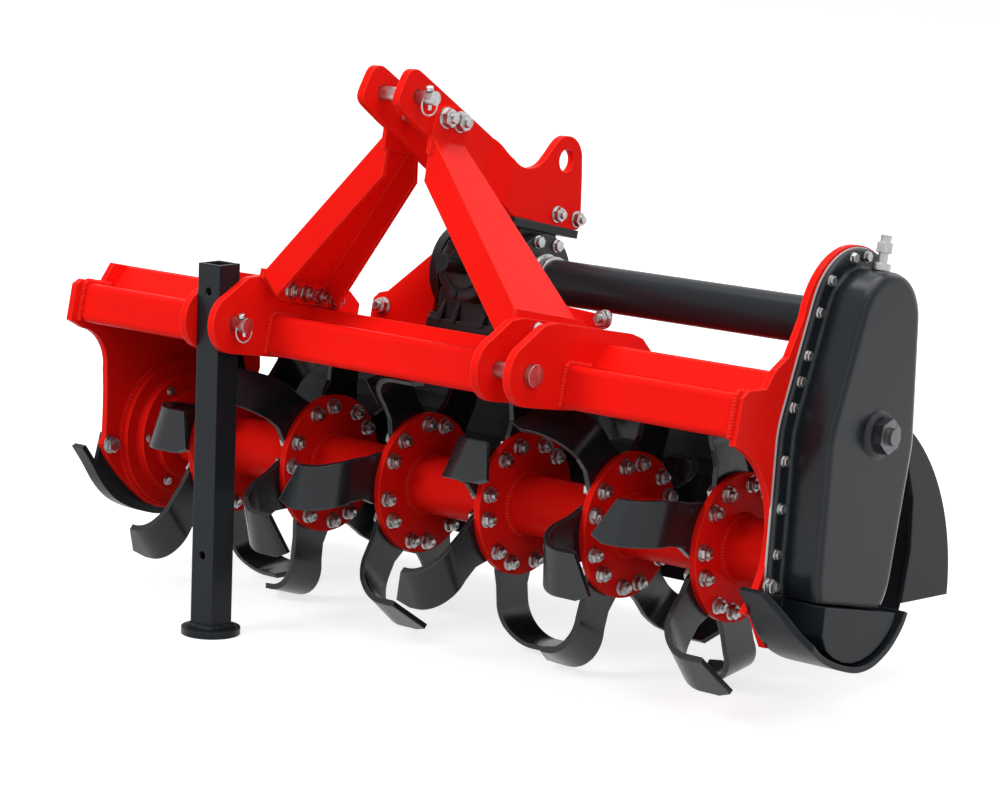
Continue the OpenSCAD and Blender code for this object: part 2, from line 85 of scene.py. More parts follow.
# %% Camera
FOCAL, WIDTH, SENSOR = 3329.68, 1000, 36
right = LEAN @ Vector((0.76633763, 0.62077908, 0.1654085))
up = LEAN @ Vector((-0.13959117, -0.09041989, 0.98607228))
back = right.cross(up)
eye = spot(3087.1, -3798.2, 225.4)
camera_data = bpy.data.cameras.new("camera")
camera_data.sensor_width = SENSOR
camera_data.lens = FOCAL / WIDTH * SENSOR
camera = bpy.data.objects.new("camera", camera_data)
bpy.context.scene.collection.objects.link(camera)
turn = Matrix((right, up, back)).transposed().to_4x4()
camera.matrix_world = Matrix.Translation(eye) @ turn
bpy.context.scene.camera = camera
print("lens", round(camera_data.lens, 1), "eye", tuple(round(v, 3) for v in eye))

# %% [markdown]
# ## Light
# A white studio: a wide soft key from the left front, a weaker fill from the right front, a big
# sheet of light overhead and a low light behind. Key and fill are hidden from reflections, because
# they would lay a pale sheen on the flat red faces. The camera and the reflections see the world as
# white, while the object is lit by a dimmer version of it, so the colours stay as they are written.

# %% Studio
scene = bpy.context.scene
scene.view_settings.view_transform = "Standard"


def softbox(name, place, target, size, energy, reflected=True):
    lamp = bpy.data.lights.new(name, "AREA")
    lamp.shape = "RECTANGLE"
    lamp.size, lamp.size_y = size
    lamp.energy = energy
    box = bpy.data.objects.new(name, lamp)
    box.location = place
    box.rotation_euler = (Vector(target) - Vector(place)).to_track_quat("-Z", "Y").to_euler()
    box.visible_glossy = reflected
    scene.collection.objects.link(box)


softbox("key_light", (-1.6, -3.6, 3.2), (0, 0, 0.35), (2.2, 2.2), 125, reflected=False)
softbox("fill_light", (3.6, -2.2, 2.4), (0.2, 0, 0.35), (2.0, 2.6), 48, reflected=False)
softbox("top_light", (0.2, 0.3, 3.6), (0, 0, 0.3), (3.4, 2.6), 100)
softbox("rear_light", (0.8, 3.4, 2.4), (0, 0, 0.4), (2.4, 1.6), 18)

world = bpy.data.worlds.new("studio")
scene.world = world
world.use_nodes = True
sky = world.node_tree
sky.nodes.clear()
sky_out = sky.nodes.new("ShaderNodeOutputWorld")
seen = sky.nodes.new("ShaderNodeBackground")
seen.inputs["Color"].default_value = (1, 1, 1, 1)
dim = sky.nodes.new("ShaderNodeBackground")
dim.inputs["Color"].default_value = (0.95, 0.97, 1, 1)
dim.inputs["Strength"].default_value = 0.45
ray = sky.nodes.new("ShaderNodeLightPath")
bounced = sky.nodes.new("ShaderNodeMath")
bounced.operation = "MAXIMUM"
sky.links.new(ray.outputs["Is Glossy Ray"], bounced.inputs[0])
sky.links.new(ray.outputs["Is Transmission Ray"], bounced.inputs[1])
shown = sky.nodes.new("ShaderNodeMath")
shown.operation = "MAXIMUM"
sky.links.new(ray.outputs["Is Camera Ray"], shown.inputs[0])
sky.links.new(bounced.outputs[0], shown.inputs[1])
either = sky.nodes.new("ShaderNodeMixShader")
sky.links.new(shown.outputs[0], either.inputs[0])
sky.links.new(dim.outputs[0], either.inputs[1])
sky.links.new(seen.outputs[0], either.inputs[2])
sky.links.new(either.outputs[0], sky_out.inputs["Surface"])

# %% [markdown]
# ## Shader sums
# A finish is a set of sums on the surface: noise, times a mask, plus a base. Wrapping a socket in
# a small class lets these sums be written as ordinary expressions. `add` makes any other node,
# `noise` the one that every finish uses, `clip` stretches a range to 0 to 1, `mix` blends colours.

# %% Socket class


class Socket:
    def __init__(self, tree, socket=None):
        self.tree, self.socket = tree, socket

    def add(self, kind, settings=None, inputs=None, out=0):
        node = self.tree.nodes.new("ShaderNode" + kind)
        for key, value in (settings or {}).items():
            setattr(node, key, value)
        for key, value in (inputs or {}).items():
            if isinstance(value, Socket):
                self.tree.links.new(value.socket, node.inputs[key])
            else:
                node.inputs[key].default_value = value
        return Socket(self.tree, node.outputs[out])

    def noise(self, where, scale, detail, rough=0.5):
        settings = {"Vector": where, "Scale": scale, "Detail": detail, "Roughness": rough}
        return self.add("TexNoise", None, settings)

    def sum(self, operation, other, swap=False):
        pair = (other, self) if swap else (self, other)
        return self.add("Math", {"operation": operation}, {0: pair[0], 1: pair[1]})

    def __add__(self, other):
        return self.sum("ADD", other)

    def __sub__(self, other):
        return self.sum("SUBTRACT", other)

    def __rsub__(self, other):
        return self.sum("SUBTRACT", other, True)

    def __mul__(self, other):
        return self.sum("MULTIPLY", other)

    __radd__ = __add__
    __rmul__ = __mul__

    def clip(self, low, high):
        limits = {"Value": self, "From Min": low, "From Max": high}
        return self.add("MapRange", {"clamp": True}, limits)

    def mix(self, low, high):
        return self.add("Mix", {"data_type": "RGBA"}, {0: self, 6: low, 7: high}, 2)


# %% [markdown]
# ## Paint, steel and castings
# All painted parts share one recipe. Fine noise in the bump is the orange peel of sprayed paint, a
# slow cloud changes its tone a little, and the rounded-edge node finds the sharp edges, which are
# painted paler: partly as thinner, worn paint and partly as a painted highlight where an edge
# catches the light. Only the numbers change between finishes.

# %% Painted finishes
OBJECT_PLACE = 3


def blank(name):
    finish = bpy.data.materials.new(name)
    finish.use_nodes = True
    tree = finish.node_tree
    return finish, tree, tree.nodes["Principled BSDF"], Socket(tree)


def wired(tree, shader, sockets, values):
    for key, socket in sockets.items():
        tree.links.new(socket.socket, shader.inputs[key])
    for key, value in values.items():
        shader.inputs[key].default_value = value


def painted(name, body, edge, rough, peel, coat, gloss=0.25, cloud=0.12, radius=0.003):
    finish, tree, shader, start = blank(name)
    where = start.add("TexCoord", out=OBJECT_PLACE)
    slow = start.noise(where, 5.0, 3.0)
    fine = start.noise(where, 420.0, 2.0)
    scuff = start.noise(where, 60.0, 8.0, 0.7)
    soft = start.add("Bevel", {"samples": 6}, {"Radius": radius})
    flat = start.add("NewGeometry", out=1)
    agree = start.add("VectorMath", {"operation": "DOT_PRODUCT"}, {0: soft, 1: flat}, 1)
    rim = (1 - agree).clip(0.02, 0.30)
    deep = tuple(c * (1 - cloud) for c in body) + (1,)
    tone = slow.clip(0.25, 0.75).mix(deep, body + (1,))
    # Sharp edges are painted paler, partly as worn paint and partly as a painted highlight.
    worn_and_highlit = rim * (0.60 + 0.20 * scuff.clip(0.35, 0.65))
    colour = worn_and_highlit.mix(tone, edge + (1,))
    relief = {"Strength": peel, "Distance": 0.0004, "Height": fine, "Normal": soft}
    bump = start.add("Bump", None, relief)
    roughness = rough + 0.10 * scuff.clip(0.3, 0.8) - 0.05
    wired(tree, shader, {"Base Color": colour, "Roughness": roughness, "Normal": bump}, {
        "Specular IOR Level": gloss, "Coat Weight": coat, "Coat Roughness": 0.10,
    })
    return finish


red_paint = painted(
    "red_paint", (0.86, 0.010, 0.006), (1.0, 0.10, 0.06),
    rough=0.30, peel=0.10, coat=0.0, gloss=0.028)
black_paint = painted(
    "black_paint", (0.012, 0.015, 0.018), (0.07, 0.07, 0.08),
    rough=0.32, peel=0.12, coat=0.02, gloss=0.13)
black_casting = painted(
    "black_casting", (0.011, 0.011, 0.013), (0.06, 0.06, 0.07),
    rough=0.40, peel=0.45, coat=0.03)
case_black = painted(
    "case_black", (0.011, 0.014, 0.017), (0.10, 0.10, 0.11),
    rough=0.24, peel=0.12, coat=0.02, gloss=0.20, radius=0.010)
tine_black = painted(
    "tine_black", (0.010, 0.013, 0.016), (0.12, 0.12, 0.13),
    rough=0.27, peel=0.20, coat=0.06, gloss=0.36, cloud=0.3)
gasket_grey = painted(
    "gasket_grey", (0.55, 0.55, 0.53), (0.60, 0.60, 0.58), rough=0.6, peel=0.3, coat=0.0)
print("painted finishes ready")

# %% [markdown]
# Bright hardware is zinc plated. The metal shows through a thin cloudy passivation, so its colour
# and its roughness drift together, and its corners are rounded in the shading only.

# %% Bright finish


def plated(name, body, rough, cloud):
    finish, tree, shader, start = blank(name)
    where = start.add("TexCoord", out=OBJECT_PLACE)
    slow = start.noise(where, 90.0, 4.0)
    fine = start.noise(where, 900.0, 2.0)
    soft = start.add("Bevel", {"samples": 4}, {"Radius": 0.0012})
    dull = tuple(c * (1 - cloud) for c in body) + (1,)
    colour = slow.clip(0.3, 0.7).mix(dull, body + (1,))
    relief = {"Strength": 0.12, "Distance": 0.0003, "Height": fine, "Normal": soft}
    bump = start.add("Bump", None, relief)
    roughness = rough + 0.16 * slow.clip(0.3, 0.75)
    sockets = {"Base Color": colour, "Roughness": roughness, "Normal": bump}
    wired(tree, shader, sockets, {"Metallic": 1.0})
    return finish


bright_steel = plated("bright_steel", (0.54, 0.54, 0.55), 0.26, 0.30)
zinc = plated("zinc_hardware", (0.50, 0.50, 0.50), 0.28, 0.32)
dark_steel = plated("dark_steel", (0.17, 0.17, 0.18), 0.30, 0.35)
print("bright finishes ready")

# %% [markdown]
# The record of the frame names a finish for each of its parts. Two parts differ from their slot:
# the chain cover has smoother paint than other black sheet, and the tensioner nut is dark steel.

# %% Finishes on the frame's own parts
by_slot = {
    "red_paint": red_paint, "black_paint": black_paint, "black_casting": black_casting,
    "tine_black": tine_black, "bright_steel": bright_steel,
}
own_finish = {"chain_cover": case_black, "tensioner_nut": dark_steel}
for part in frame["record"]["subparts"]:
    thing = nodes[part["node"]]
    thing.data.materials.clear()
    finish = own_finish.get(part["node"], by_slot[part["material_slot"]])
    thing.data.materials.append(finish)

# %% [markdown]
# ## Floor
# The studio floor is a white sheet that fades into the white background. A lit white sheet comes
# out pale grey, so the camera also sees a little glow on it, weak round the machine, where the
# shadow has to stay, and full farther off, where floor and background meet with no line.

# %% Floor
NEAR_GLOW, FAR_GLOW = 0.74, 0.26
bpy.context.tool_settings.mesh_select_mode = (False, False, True)
bpy.ops.object.select_all(action="DESELECT")
bpy.ops.mesh.primitive_plane_add(size=30, location=(0, 0, 0))
floor = bpy.context.object
floor.name = "floor"
pale, ground, sheet, start = blank("pale_floor")
where = start.add("TexCoord", out=OBJECT_PLACE)
far = start.add("VectorMath", {"operation": "LENGTH"}, {0: where}, 1)
kinds = ("Is Camera Ray", "Is Glossy Ray", "Is Transmission Ray")
direct, glossy, through = (start.add("LightPath", out=kind) for kind in kinds)
shown = direct.sum("MAXIMUM", glossy).sum("MAXIMUM", through)
level = shown * (NEAR_GLOW + FAR_GLOW * far.clip(0.9, 2.6))
wired(ground, sheet, {"Emission Color": level.mix((0, 0, 0, 1), (1, 1, 1, 1))}, {
    "Base Color": (0.42, 0.42, 0.42, 1), "Roughness": 0.7, "Emission Strength": 1.0,
})
floor.data.materials.append(pale)
print("floor", floor.dimensions[:2])

# %% [markdown]
# ## Hand tools
# The rest of the lesson models pieces by hand. Every piece starts as a primitive that is shaped in
# edit mode, so a few short helpers do what the mouse would: let go of everything, pick the faces
# that point up, draw faces out, and join finished bits into one piece. A bar stands on its base,
# and a sheet is a filled outline that is drawn out to its thickness.

# %% Hand tools


def let_go():
    if bpy.context.object and bpy.context.object.mode != "OBJECT":
        bpy.ops.object.mode_set(mode="OBJECT")
    bpy.ops.object.select_all(action="DESELECT")


def pick_top(piece):
    bpy.ops.object.mode_set(mode="OBJECT")
    mesh = piece.data
    for kind in (mesh.vertices, mesh.edges, mesh.polygons):
        kind.foreach_set("select", [False] * len(kind))
    for face in mesh.polygons:
        face.select = face.normal.z > 0.9
    bpy.ops.object.mode_set(mode="EDIT")


def draw_out(offset):
    bpy.ops.mesh.extrude_region_move(TRANSFORM_OT_translate={"value": offset})


def plain_bar(sides, radius, depth, base=0.0):
    let_go()
    middle = (0, 0, base + depth / 2)
    bpy.ops.mesh.primitive_cylinder_add(vertices=sides, radius=radius, depth=depth, location=middle)
    bpy.ops.object.transform_apply(location=True, rotation=True, scale=True)
    return bpy.context.object


def filled(places):
    let_go()
    bpy.ops.mesh.primitive_circle_add(vertices=len(places), radius=0.1, fill_type="NGON")
    sheet = bpy.context.object
    for corner, place in zip(sheet.data.vertices, places):
        corner.co = place
    return sheet


def thicken(offset):
    bpy.ops.object.mode_set(mode="EDIT")
    bpy.ops.mesh.select_all(action="SELECT")
    draw_out(offset)
    bpy.ops.mesh.select_all(action="SELECT")
    bpy.ops.mesh.normals_make_consistent(inside=False)
    bpy.ops.object.mode_set(mode="OBJECT")


def joined(bits, name):
    let_go()
    for bit in bits:
        bit.select_set(True)
    bpy.context.view_layer.objects.active = bits[0]
    if len(bits) > 1:
        bpy.ops.object.join()
    whole = bpy.context.object
    whole.name = whole.data.name = name
    return whole


def dressed(piece, finish, body, angle=38):
    let_go()
    piece.data.materials.clear()
    piece.data.materials.append(finish)
    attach(piece, body)
    piece.select_set(True)
    bpy.context.view_layer.objects.active = piece
    bpy.ops.object.shade_smooth_by_angle(angle=math.radians(angle))
    piece.select_set(False)
    return piece


# %% [markdown]
# ## Nuts and bolts
# Every joint on the machine shows the same two ends of a bolt: a nut on its washer with the end of
# the thread standing out, or a six-sided head on its washer. Each is turned from short bars whose
# top face is inset and lifted, which cuts the chamfer that catches the light. They are modelled
# once, standing on the floor of their own space at 12 mm thread, and copied wherever they belong.

# %% Bolt models
CHAMFER_RISE, DISH_RIM = 0.6, 0.35


def turned_bar(sides, radius, depth, base, chamfer, dish=0.0):
    bar = plain_bar(sides, radius, depth, base)
    pick_top(bar)
    bpy.ops.mesh.inset(thickness=chamfer)
    bpy.ops.transform.translate(value=(0, 0, chamfer * CHAMFER_RISE))
    if dish:
        bpy.ops.mesh.inset(thickness=radius * DISH_RIM)
        bpy.ops.transform.translate(value=(0, 0, -dish))
    bpy.ops.object.mode_set(mode="OBJECT")
    return bar


nut_model = joined([
    turned_bar(18, 0.0122, 0.0018, 0.0, 0.0007),
    turned_bar(6, 0.0108, 0.0082, 0.0018, 0.0016),
    turned_bar(12, 0.0058, 0.0050, 0.0105, 0.0010, 0.0006),
], "nut_model")
head_model = joined([
    turned_bar(18, 0.0122, 0.0018, 0.0, 0.0007),
    turned_bar(6, 0.0108, 0.0072, 0.0018, 0.0015, 0.0007),
], "head_model")
print("nut faces", len(nut_model.data.polygons), "head faces", len(head_model.data.polygons))

# %% [markdown]
# A copy is put in place by moving its mesh and not the object, so the finished piece sits at the
# origin as the frame's own parts do. `along` is the way the bolt points, in the machine's axes, and
# each copy is turned a little, because no two nuts on a real machine stop at the same angle.

# %% Put copies in place


def put(model, place, along, size=1.0, spin=0.0):
    copy = model.copy()
    copy.data = model.data.copy()
    scene.collection.objects.link(copy)
    face = along.to_track_quat("Z", "Y").to_matrix().to_4x4()
    turn = Matrix.Rotation(spin, 4, "Z") @ Matrix.Scale(size, 4)
    copy.data.transform(Matrix.Translation(place) @ face @ turn)
    return copy


RIGHTWARD, LEFTWARD, FORWARD, UPWARD = (1, 0, 0), (-1, 0, 0), (0, -1, 0), (0, 0, 1)
SPIN_STEP = 0.7


def bolt_row(name, model, places, along, size, body="frame", finish=zinc):
    facing = way(*along)
    copies = [
        put(model, spot(*place), facing, size, SPIN_STEP * i) for i, place in enumerate(places)
    ]
    return dressed(joined(copies, name), finish, body)


def on_ring(x, y, z, radius, angles):
    return [(x, y + radius * math.sin(a), z + radius * math.cos(a)) for a in angles]


# %% [markdown]
# ### Rotor bolts
# Six tines are bolted to each flange, two bolts through each root, eighteen degrees to either side
# of the tine's own line. The flanges follow one another by thirty-six degrees, so the tines climb
# round the rotor like a coarse thread. The nuts show on the chain case side, the heads behind.

# %% Rotor bolts
START, SWEEP, TIP = 24, 60, 216
FIRST = START - PARKED - math.degrees(math.asin(SWEEP / TIP))
MIDDLE, PITCH = 7.2, 191.9
FLANGES = [MIDDLE + (i - 2.5) * PITCH for i in range(6)]
CLIMB, BETWEEN, ASIDE = 36, 60, 18.3
BOLT_CIRCLE = 89
NUT_SEAT, HEAD_SEAT = 5, -13


def on_flange(i, across):
    places = []
    for k in range(6):
        for side in (-1, 1):
            a = math.radians(FIRST + CLIMB * i + BETWEEN * k + side * ASIDE)
            around = (-BOLT_CIRCLE * math.sin(a), BOLT_CIRCLE * math.cos(a))
            places.append((FLANGES[i] + across,) + around)
    return places


for i in range(6):
    number = "%d" % (i + 1)
    nuts, heads = on_flange(i, NUT_SEAT), on_flange(i, HEAD_SEAT)
    bolt_row("flange_nuts_" + number, nut_model, nuts, RIGHTWARD, 1.0, "rotor")
    bolt_row("flange_heads_" + number, head_model, heads, LEFTWARD, 0.95, "rotor")
print("rotor bolts on", len(FLANGES), "flanges")

# %% [markdown]
# ### Hitch and mast bolts
# The foot of each strut is bolted to a lower link plate by four bolts in a row, and its head to a
# mast plate by two. Two more hold each mast plate to the gearbox bracket. The two feet stand a
# little differently, so each has its own list of places. Heads and mast serve both sides.

# %% Hitch bolts
left_foot = [(-221, 248), (-188, 247), (-157, 246), (-125, 245)]
right_foot = [(-248, 249), (-215, 248), (-184, 247), (-151, 246)]
strut_head = [(-268, 520), (-238, 519)]
mast_foot = [(-7, 421), (40, 420)]
for name, model, seat, row, along, size in (
    ("strut_foot_nuts_left", nut_model, -213.5, left_foot, RIGHTWARD, 1.05),
    ("strut_foot_nuts_right", nut_model, 253.5, right_foot, LEFTWARD, 1.05),
    ("strut_foot_heads_left", head_model, -232.5, left_foot, LEFTWARD, 0.9),
    ("strut_foot_heads_right", head_model, 272.5, right_foot, RIGHTWARD, 0.9),
    ("strut_head_nuts_right", nut_model, 66, strut_head, RIGHTWARD, 1.25),
    ("strut_head_nuts_left", nut_model, -26, strut_head, LEFTWARD, 1.25),
    ("strut_head_heads_right", head_model, 47, strut_head, LEFTWARD, 1.0),
    ("strut_head_heads_left", head_model, -7, strut_head, RIGHTWARD, 1.0),
    ("mast_nuts_right", nut_model, 81, mast_foot, RIGHTWARD, 1.0),
    ("mast_nuts_left", nut_model, -41, mast_foot, LEFTWARD, 1.0),
):
    bolt_row(name, model, [(seat, y, z) for y, z in row], along, size)
print("hitch bolts placed")

# %% [markdown]
# ### Support, skid and bearing bolts
# One nut stands at the end of each support and one head on each skid. The left bearing is closed by
# a cap with six heads outside, and its housing is held by a wider ring of six that shows inside.

# %% Other frame bolts
support_ends = [(-164, -70, 248), (247, -70, 280)]
bolt_row("support_heads", nut_model, support_ends, FORWARD, 1.15)
bolt_row("skid_head_left", head_model, [(-615, -136, -32)], RIGHTWARD, 1.2)
bolt_row("skid_head_right", head_model, [(633, -129, -35)], RIGHTWARD, 1.0)
cap_turns = (0.5, 1.55, 2.6, 3.64, 4.69, 5.74)
hub_turns = (0.35, 1.4, 2.44, 3.49, 4.54, 5.59)
cap_ring = on_ring(-633, 0, 0, 47, cap_turns)
hub_ring = on_ring(-587, 0, 0, 82, hub_turns)
bolt_row("bearing_cap_heads", head_model, cap_ring, LEFTWARD, 0.8)
bolt_row("bearing_hub_heads", head_model, hub_ring, RIGHTWARD, 0.6)
print("frame bolts placed")

# %% [markdown]
# ### Chain case bolts and gasket
# The cover is held to the side plate by a ring of small bolts that follows its outline. The outline
# is the line a belt would take round three circles, and for any direction the belt touches the
# circle that reaches farthest that way. The bolts stand at heights given for the front and the rear
# edge. A pale gasket, cut off level at the bottom, shows as a thin line between flange and plate.

# %% Chain case ring
CASE = [(-27, 330, 73), (-24, 170, 105), (-12, 0, 92)]
RIDGE = -27
FLANGE_FACE, BOLT_GROW, WALK = 633, 16, 2
GASKET_SEAT, GASKET_GROW, GASKET_CUT, GASKET_THICK = 624.4, 27.8, -46 - 1.6, 0.0026


def belt(grow, count=240):
    line = []
    for k in range(count):
        a = 2 * math.pi * k / count
        y, z, r = max(CASE, key=lambda c: c[0] * math.sin(a) + c[1] * math.cos(a) + c[2])
        line.append((y + (r + grow) * math.sin(a), z + (r + grow) * math.cos(a)))
    return line


def runs(line):
    return zip(line, line[1:] + line[:1])


def above_cut(line, level):
    kept = []
    for (y0, z0), (y1, z1) in runs(line):
        if z0 >= level:
            kept.append((y0, z0))
        if (z0 - level) * (z1 - level) < 0:
            kept.append((y0 + (y1 - y0) * (level - z0) / (z1 - z0), level))
    return kept


ring_line = []
for (y0, z0), (y1, z1) in runs(belt(BOLT_GROW, 720)):
    steps = 1 + int(math.dist((y0, z0), (y1, z1)) / WALK)
    for k in range(steps):
        ring_line.append((y0 + (y1 - y0) * k / steps, z0 + (z1 - z0) * k / steps))
FRONT = (413, 377, 332, 273, 238, 202, 132, 68, 7, -35)
REAR = (419, 398, 352, 292, 232, 172, 112, 52, -8, -36)
ring_places = []
for heights, side in ((FRONT, -1), (REAR, 1)):
    half = [q for q in ring_line if (q[0] - RIDGE) * side >= 0]
    for z in heights:
        ring_places.append((FLANGE_FACE,) + min(half, key=lambda q: abs(q[1] - z)))
bolt_row("case_heads", head_model, ring_places, RIGHTWARD, 0.66)

edge = above_cut(belt(GASKET_GROW), GASKET_CUT)
gasket = filled([spot(GASKET_SEAT, y, z) for y, z in edge])
gasket.name = gasket.data.name = "case_gasket"
thicken(way(*RIGHTWARD) * GASKET_THICK)
dressed(gasket, gasket_grey, "frame")
print("case bolts", len(ring_places), "gasket corners", len(edge))

# %% [markdown]
# ## Weld beads
# The hitch plates, flanges and beam are welded, and a weld is a row of overlapping drops of metal.
# So one drop is modelled, a ball pressed flat, and a bead is a row of drops along a line, each one
# lying over the last, joined into a single piece and painted with what it holds together.

# %% Weld drop
let_go()
bpy.ops.mesh.primitive_uv_sphere_add(segments=8, ring_count=6, radius=0.0042)
drop_model = bpy.context.object
drop_model.name = drop_model.data.name = "drop_model"
bpy.ops.object.mode_set(mode="EDIT")
bpy.ops.mesh.select_all(action="SELECT")
bpy.ops.transform.resize(value=(1.15, 1.0, 0.75))
bpy.ops.transform.vertex_random(offset=0.0003, seed=4)
bpy.ops.object.mode_set(mode="OBJECT")


TILT = Vector((0.01, 0.02, 0.03))
DROP_SPIN, ONE_PER_RUN = 0.9, 99


def weld_line(name, points, size, body="frame", gap=4.6, finish=red_paint):
    drops = []
    for a, b in zip(points, points[1:]):
        steps = max(1, round((b - a).length / (gap / 1000)))
        along = (b - a).normalized() + TILT
        for k in range(steps):
            drops.append(put(drop_model, a.lerp(b, k / steps), along, size, k * DROP_SPIN))
    return dressed(joined(drops, name), finish, body, 80)


def weld_ring(name, x, radius, count, size, body="frame"):
    turns = [2 * math.pi * k / count for k in range(count + 1)]
    points = [spot(*place) for place in on_ring(x, 0, 0, radius, turns)]
    return weld_line(name, points, size, body, ONE_PER_RUN)


TUBE, HALF_FLANGE = 45, 6
for i, x in enumerate(FLANGES):
    weld_ring("tube_weld_%d_right" % (i + 1), x + HALF_FLANGE, TUBE, 60, 1.15, "rotor")
    weld_ring("tube_weld_%d_left" % (i + 1), x - HALF_FLANGE, TUBE, 60, 1.15, "rotor")
print("flange welds done")

# %% [markdown]
# The hitch plates and the beam's ends are welded along the front and the top of the beam, so one
# path in (y, z) serves them all. The bearing housing has a ring of its own on the side plate.

# %% Plate welds
beam_path = [(-247, 152), (-247, 206), (-241, 212), (-190, 212)]
for name, x, size in (
    ("hitch_weld_left_outer", -290.5, 1.0), ("hitch_weld_left_inner", -219.5, 1.0),
    ("hitch_weld_right_inner", 259.5, 1.0), ("hitch_weld_right_outer", 330.5, 1.0),
    ("beam_end_weld_left", -614, 1.1), ("beam_end_weld_right", 614, 1.1),
):
    weld_line(name, [spot(x, y, z) for y, z in beam_path], size)
weld_ring("bearing_weld", -614, 118, 110, 1.2)
print("plate welds done")

# %% [markdown]
# The leg stands in a square weld on its foot plate. It belongs to the leg and not to the frame, so
# that it swings with the leg. Its place comes from the box of the leg itself.

# %% Leg weld
low, high = (Vector(v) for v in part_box("stand_leg"))
foot_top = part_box("stand_foot")[1][2]
square = [(low.x, low.y), (high.x, low.y), (high.x, high.y), (low.x, high.y), (low.x, low.y)]
leg_path = [Vector((x, y, foot_top + 0.001)) for x, y in square]
weld_line("leg_weld", leg_path, 1.3, "stand", 5.0, black_paint)

# %% [markdown]
# ## Pin clips
# The two pins that a driver pulls by hand are held by a linch clip: a small pin through the end,
# and a spring ring that snaps over it. The ring is a torus pulled a little oval and moved down
# until it hangs from the small pin, which is a bar with a collar, laid on its side.

# %% Clip model
let_go()
bpy.ops.mesh.primitive_torus_add(
    major_radius=0.0150, minor_radius=0.0015, major_segments=40, minor_segments=8)
clip_ring = bpy.context.object
bpy.ops.object.mode_set(mode="EDIT")
bpy.ops.mesh.select_all(action="SELECT")
bpy.ops.transform.resize(value=(1.0, 1.25, 1.0))
bpy.ops.transform.translate(value=(0, -0.0115, 0))
bpy.ops.object.mode_set(mode="OBJECT")
clip_pin = turned_bar(12, 0.0038, 0.036, -0.020, 0.0010)
clip_collar = turned_bar(14, 0.0068, 0.006, 0.013, 0.0014)
for bar in (clip_pin, clip_collar):
    bar.data.transform(Matrix.Rotation(math.radians(-90), 4, "X"))
clip_model = joined([clip_ring, clip_pin, clip_collar], "clip_model")
print("clip faces", len(clip_model.data.polygons))

# %% [markdown]
# One clip hangs on the top pin and one on the left lower pin, each leaning its own way.

# %% Clips in place
CLIP_SIZE = 0.85
for name, place, along, spin in (
    ("top_pin_clip", (79, -325, 540), (0.96, -0.2, -0.2), 0.15),
    ("lower_pin_clip", (-205, -318, 187.5), (0.96, -0.25, -0.1), 0.20),
):
    clip = joined([put(clip_model, spot(*place), way(*along), CLIP_SIZE, spin)], name)
    dressed(clip, bright_steel, "frame")
print("clips done")

# %% [markdown]
# ## Gearbox fittings
# The casting is a plain block and barrels in the frame. On the real one, round covers close the
# bearing bores, each with a raised rim and a ring of bolts, and thin ribs run from the barrel to
# the base. A cover is a bar whose face is inset again and again: first for a chamfer, then for a
# trough that is pushed in, and last for a boss that is drawn out of it.

# %% Covers
DRIVE = (-28, 323)
ROUND = 48
LID_HEAD, LID_SPIN = 0.62, 0.5


def cover(name, place, along, radius, depth, bolts, bolt_radius):
    lid = plain_bar(ROUND, radius, depth)
    pick_top(lid)
    bpy.ops.mesh.inset(thickness=radius * 0.04)
    bpy.ops.transform.translate(value=(0, 0, radius * 0.03))
    bpy.ops.mesh.inset(thickness=radius * 0.26)
    draw_out((0, 0, -depth * 0.45))
    bpy.ops.mesh.inset(thickness=radius * 0.05)
    draw_out((0, 0, depth * 0.70))
    bpy.ops.mesh.inset(thickness=radius * 0.05)
    bpy.ops.transform.translate(value=(0, 0, depth * 0.10))
    bpy.ops.object.mode_set(mode="OBJECT")
    face = way(*along)
    bits = [put(lid, spot(*place), face)]
    bpy.data.objects.remove(lid)
    side = face.orthogonal().normalized()
    for k in range(bolts):
        out = Matrix.Rotation(2 * math.pi * (k + 0.5) / bolts, 3, face) @ side
        rim = spot(*place) + face * depth + out * bolt_radius
        bits.append(put(head_model, rim, face, LID_HEAD, LID_SPIN * k))
    return dressed(joined(bits, name), black_casting, "frame")


cover("input_cover", (20, -110, 323), FORWARD, 0.0495, 0.008, 6, 0.042)
cover("left_cover", (-74,) + DRIVE, LEFTWARD, 0.035, 0.008, 6, 0.029)
eighths = [math.pi * (k + 0.5) / 4 for k in range(8)]
bolt_row("right_cover_heads", head_model, on_ring(90, *DRIVE, 57, eighths), RIGHTWARD, 0.8)
print("covers done")

# %% [markdown]
# A rib is a thin block whose top is drawn together and pushed back to lean on the barrel. Plated
# heads hold the bracket on top, and painted heads hold the base to the hood.

# %% Ribs
RIB = (0.009, 0.024, 0.046, 1)
for side, x in (("left", -36), ("inner_left", -8), ("inner_right", 44), ("right", 72)):
    let_go()
    bpy.ops.mesh.primitive_cube_add(size=1)
    rib = bpy.context.object
    rib.name = rib.data.name = "gearbox_rib_" + side
    rib.data.transform(Matrix.Diagonal(RIB))
    pick_top(rib)
    bpy.ops.transform.resize(value=(0.7, 0.35, 1))
    bpy.ops.transform.translate(value=(0, 0.009, 0))
    bpy.ops.mesh.select_all(action="SELECT")
    bpy.ops.mesh.bevel(offset=0.0018, segments=2, affect="EDGES")
    bpy.ops.object.mode_set(mode="OBJECT")
    rib.data.transform(Matrix.Translation(spot(x, -84, 262)) @ LEAN.to_4x4())
    dressed(rib, black_casting, "frame")
bracket_heads = [(x, y, 404) for x in (-5, 45) for y in (-84, 30)]
bolt_row("bracket_heads", head_model, bracket_heads, UPWARD, 0.85)
base_heads = [(x, y, 244) for x in (-53, 87) for y in (-80, -40, 0, 28)]
bolt_row(
    "gearbox_base_heads", head_model, base_heads, UPWARD, 0.9,
    "frame", black_casting)
print("ribs and base bolts done")

# %% [markdown]
# ## Right support
# The right support is lower than the left one, because the drive comes out of the gearbox above it.
# It is a plate folded along one edge: each wall starts as a filled outline that is drawn out to the
# thickness of the sheet, and the two walls meet at the fold. A small bevel rounds the sawn edges.

